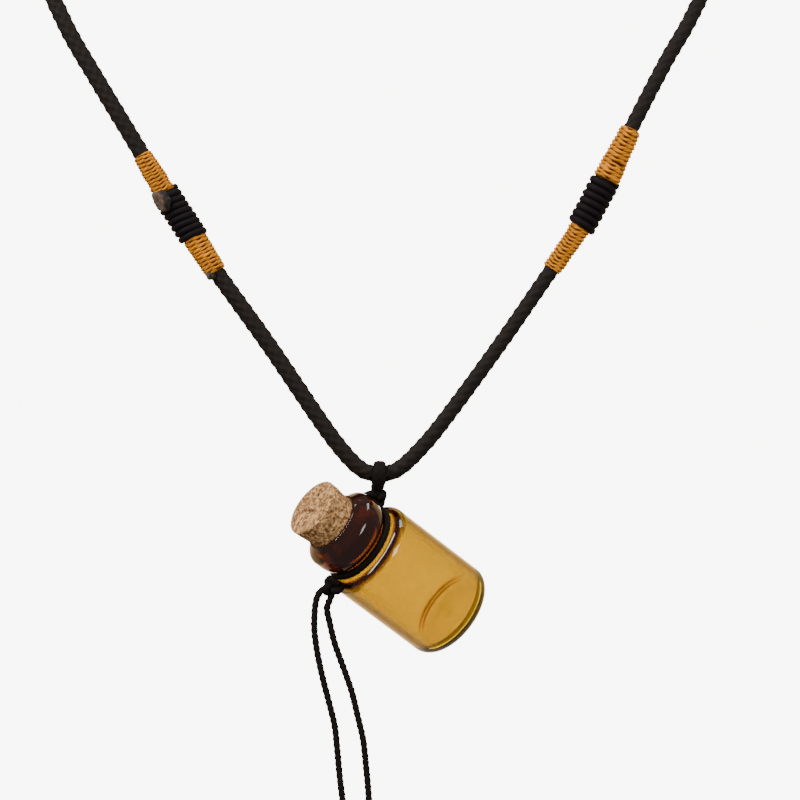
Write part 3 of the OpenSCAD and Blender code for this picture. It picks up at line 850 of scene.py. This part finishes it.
def yarn_material(name, light, dark, fibre=60, patch=300, gap=0.8, bump=0.3, shine=0.3):
    """A yarn between two colours, the dark one painted into its gaps as shade, with the scales of its
    fibres and patches.
    """
    material, tree, shader = new_material(name)
    yarn = add(tree, "ShaderNodeGroup", {
        "Light": (*light, 1), "Dark": (*dark, 1),
        "Fibre Scale": fibre, "Patch Scale": patch, "Gap Strength": gap}, node_tree=YARN)
    relief = add(tree, "ShaderNodeBump", {
        "Height": yarn.outputs["Height"], "Strength": bump, "Distance": FIBRE_HEIGHT})
    feed(tree, shader, {
        "Base Color": yarn.outputs["Color"], "Roughness": yarn.outputs["Roughness"],
        "Normal": relief.outputs["Normal"], "Specular IOR Level": shine})
    return material


dark_cord = yarn_material(
    "dark_braid", (0.014, 0.008, 0.0045), (0.001, 0.0006, 0.0004), fibre=40, shine=0.2)
thin_cord = yarn_material(
    "dark_thin_cord", (0.008, 0.0045, 0.003), (0.001, 0.0006, 0.0005), shine=0.12)
coil_cord = yarn_material(
    "dark_coil_cord", (0.006, 0.0025, 0.004), (0.0005, 0.0003, 0.0005), bump=0.15, shine=0.15)
orange = yarn_material(
    "orange_thread", (1.0, 0.37, 0.02), (0.06, 0.008, 0.001), gap=1.0, bump=0.5, shine=0.1)
melted = yarn_material(
    "melted_cord", (0.14, 0.088, 0.058), (0.01, 0.009, 0.006), fibre=20, patch=450, gap=0.9, bump=0.4)
yarns = (dark_cord, thin_cord, coil_cord, orange, melted)
print("yarn materials:", ", ".join(material.name for material in yarns))

# %% [markdown]
# Light that passes through glass takes on the shader's colour at each surface. A ramp turns the
# tint of each point into that colour: honey yellow for the body, red-brown for the lip, which is
# partly painted shade, and nearly black for the painted dark ring, the painted shade at the lip's
# foot and the floor's painted lines. A thin absorbing volume inside the wall adds a little depth
# where the way through the glass is long, as at the body's edges.

# %% Amber glass
BODY_AMBER, LIP_BROWN = (0.52, 0.38, 0.005, 1), (0.16, 0.036, 0.016, 1)
PAINTED_DARK_BROWN = (0.005, 0.0015, 0.0015, 1)
WALL_COLOUR, WALL_DENSITY = (0.84, 0.77, 0.1, 1), 800
POLISH, GLASS_IOR, CLEARNESS = 0.03, 1.5, 0.88


def amber_glass():
    """Colour at the surface = ramp(tint); loss inside the wall = density * (1 - wall colour)."""
    material, tree, shader = new_material("amber_glass")
    colour = add(tree, "ShaderNodeValToRGB", {"Fac": groove_value(tree)})
    ramp = colour.color_ramp
    ramp.elements[0].color = BODY_AMBER
    ramp.elements[1].color = PAINTED_DARK_BROWN
    ramp.elements.new(0.5).color = LIP_BROWN
    feed(tree, shader, {
        "Base Color": colour.outputs["Color"], "Roughness": POLISH, "IOR": GLASS_IOR,
        "Transmission Weight": CLEARNESS})
    wall = add(tree, "ShaderNodeVolumeAbsorption", {"Color": WALL_COLOUR, "Density": WALL_DENSITY})
    feed(tree, tree.nodes["Material Output"], {"Volume": wall.outputs[0]})
    return material


glass_material = amber_glass()
print("glass material:", glass_material.name)

# %% [markdown]
# Pressed cork is a jigsaw of crumbs, each with its own tone. A cell pattern gives the crumbs,
# and a colour ramp keeps their tones between brown and straw. Dark specks come from fine noise,
# and painted shade darkens the same pits that are pushed into the mesh, so colour and shape agree.

# %% Pressed cork
DARK_CORK, BROWN_CRUMB, PALE_CRUMB = (0.07, 0.025, 0.008, 1), (0.22, 0.09, 0.03, 1), (0.82, 0.46, 0.19, 1)
CRUMBS_PER_METRE, SPECKS_PER_METRE = 1700, 2200
SPECK_START, SPECK_END, RELIEF_HEIGHT = 0.52, 0.62, 0.3 * MM


def cork_material():
    """Colour = crumb tone, to dark by the higher of specks and the groove's painted pit shade; height =
    minus that dark.
    """
    material, tree, shader = new_material("pressed_cork")
    place = add(tree, "ShaderNodeTexCoord").outputs["Object"]
    crumbs = add(tree, "ShaderNodeTexVoronoi", {"Vector": place, "Scale": CRUMBS_PER_METRE})
    shades = add(tree, "ShaderNodeValToRGB", {"Fac": crumbs.outputs["Color"]})
    darkest, palest = shades.color_ramp.elements
    darkest.color, darkest.position = BROWN_CRUMB, 0.1
    palest.color, palest.position = PALE_CRUMB, 0.8
    specks = add(tree, "ShaderNodeTexNoise", {
        "Vector": place, "Scale": SPECKS_PER_METRE, "Detail": 4, "Roughness": 0.7}).outputs["Fac"]
    dark = joined(tree, "MAXIMUM", fade(tree, specks, SPECK_START, SPECK_END), groove_value(tree))
    relief = add(tree, "ShaderNodeBump", {
        "Height": dark, "Strength": 0.5, "Distance": RELIEF_HEIGHT}, invert=True)
    feed(tree, shader, {
        "Base Color": mixed(tree, dark, shades.outputs["Color"], DARK_CORK),
        "Normal": relief.outputs["Normal"], "Roughness": 0.85, "Specular IOR Level": 0.2})
    return material


pressed_cork = cork_material()
print("cork material:", pressed_cork.name)

# %% [markdown]
# Every piece now gets its material.

# %% Dress the pieces
def dress(piece, material):
    """The piece gets its only material."""
    piece.data.materials.clear()
    piece.data.materials.append(material)


for piece in (neck_cord, nape):
    dress(piece, dark_cord)
for piece in (left_tail, right_tail, neck_turn, loop, top_knot, side_knot):
    dress(piece, thin_cord)
for piece in wraps:
    dress(piece, orange)
for piece in coils:
    dress(piece, coil_cord)
for piece in (melted_end, thread_end):
    dress(piece, melted)
dress(glass, glass_material)
dress(cork, pressed_cork)
print("materials in use:", len(yarns) + 2)

# %% [markdown]
# The studio is one pale sheet: a floor that starts behind the pendant, a wide curve, and a wall
# 1.7 m behind it. Behind the pendant the wall glows white, as the blank ground of the photo does, and
# this light also shines through the glass. The white core is narrow, because glass mirrors
# whatever lies beside it and would lose its dark edges in a wide one. Round it the sheet glows
# faintly and warm. Seen from behind, the sheet is clear, so that the back of the necklace can be
# looked at too.

# %% Backdrop
FLOOR_START, FLOOR_Z, BEND_RADIUS, WALL_Y, WALL_TOP, HALF_WIDTH = 0.15, -0.75, 0.8, 1.7, 2.55, 3.0
PAPER, WARM_GLOW, WHITE_GLOW = (0.46, 0.41, 0.33, 1), (1, 0.55, 0.2, 1), (1, 1, 1, 1)
CORE_STRENGTH, WIDE_STRENGTH = 7, 0.8
CORE_ACROSS, CORE_UP, CORE_BACK = (0.5, 0.3), (0.3, 0.08), (1.2, 1.45)
WIDE_UP, WIDE_BACK = (1.6, 1.0), (0.4, 0.8)


def sheet_mesh():
    """Flat floor, then a quarter circle, then a wall, the same across its width."""
    bend = arc(WALL_Y - BEND_RADIUS, FLOOR_Z + BEND_RADIUS, BEND_RADIUS, BEND_RADIUS, -90, 0, 24)
    side_view = np.vstack([[[FLOOR_START, FLOOR_Z]], bend, [[WALL_Y, WALL_TOP]]])
    across = np.array([[-HALF_WIDTH, HALF_WIDTH]])
    grid = np.stack(np.broadcast_arrays(across, side_view[:, 0:1], side_view[:, 1:2]), -1)
    faces = [(2*i, 2*i + 1, 2*i + 3, 2*i + 2) for i in range(len(side_view) - 1)]
    mesh = bpy.data.meshes.new("backdrop")
    mesh.from_pydata(grid.reshape(-1, 3).tolist(), [], faces)
    mesh.shade_smooth()
    return mesh


def glowing_paper():
    """Glow = core(across) * core(up) * core(back) + wide(up) * wide(back); white where the core is.

    Each pair of distances says where a glow has gone and where it is full."""
    material, tree, shader = new_material("pale_paper")
    place = add(tree, "ShaderNodeTexCoord").outputs["Object"]
    x, y, z = add(tree, "ShaderNodeSeparateXYZ", {"Vector": place}).outputs
    aside = add(tree, "ShaderNodeMath", {0: x}, operation="ABSOLUTE").outputs[0]
    core = joined(tree, "MULTIPLY", fade(tree, aside, *CORE_ACROSS), fade(tree, z, *CORE_UP))
    core = joined(tree, "MULTIPLY", core, fade(tree, y, *CORE_BACK, 0, CORE_STRENGTH))
    wide = fade(tree, y, *WIDE_BACK, 0, WIDE_STRENGTH)
    wide = joined(tree, "MULTIPLY", wide, fade(tree, z, *WIDE_UP))
    behind = add(tree, "ShaderNodeNewGeometry").outputs["Backfacing"]
    feed(tree, shader, {
        "Base Color": PAPER, "Roughness": 0.9,
        "Emission Strength": joined(tree, "ADD", core, wide),
        "Emission Color": mixed(tree, core, WARM_GLOW, WHITE_GLOW),
        "Alpha": joined(tree, "SUBTRACT", 1, behind)})
    return material


backdrop = bpy.data.objects.new("backdrop", sheet_mesh())
backdrop.data.materials.append(glowing_paper())
bpy.context.scene.collection.objects.link(backdrop)

# %% [markdown]
# Three soft lamps stand to the left, to the right and above. The key lamp on the left is tall and
# narrow, so its mirror image in the round glass is a thin bright line and not a square window. A
# weaker lamp fills the right side, and the one above draws the top edges. A dim white world
# lifts the shadows.

# %% Lamps
def lamp(name, place, width, height, power):
    """A soft rectangle of light at a place, turned towards the pendant."""
    data = bpy.data.lights.new(name, "AREA")
    data.shape, data.size, data.size_y, data.energy = "RECTANGLE", width, height, power
    light = bpy.data.objects.new(name, data)
    bpy.context.scene.collection.objects.link(light)
    light.location = place
    light.rotation_euler = Vector(LOWEST - place).to_track_quat("-Z", "Y").to_euler()
    print(name, "lamp, watts:", power)


lamp("key", (-0.9, -0.6, 0.6), width=0.3, height=1.6, power=27)
lamp("fill", (0.8, -1.0, 0.1), width=0.6, height=0.6, power=12)
lamp("top", (0.3, 0.1, 0.8), width=0.4, height=0.4, power=4)

world = bpy.data.worlds.new("studio")
world.use_nodes = True
feed(world.node_tree, world.node_tree.nodes["Background"], {"Color": (1, 1, 1, 1), "Strength": 0.25})
bpy.context.scene.world = world
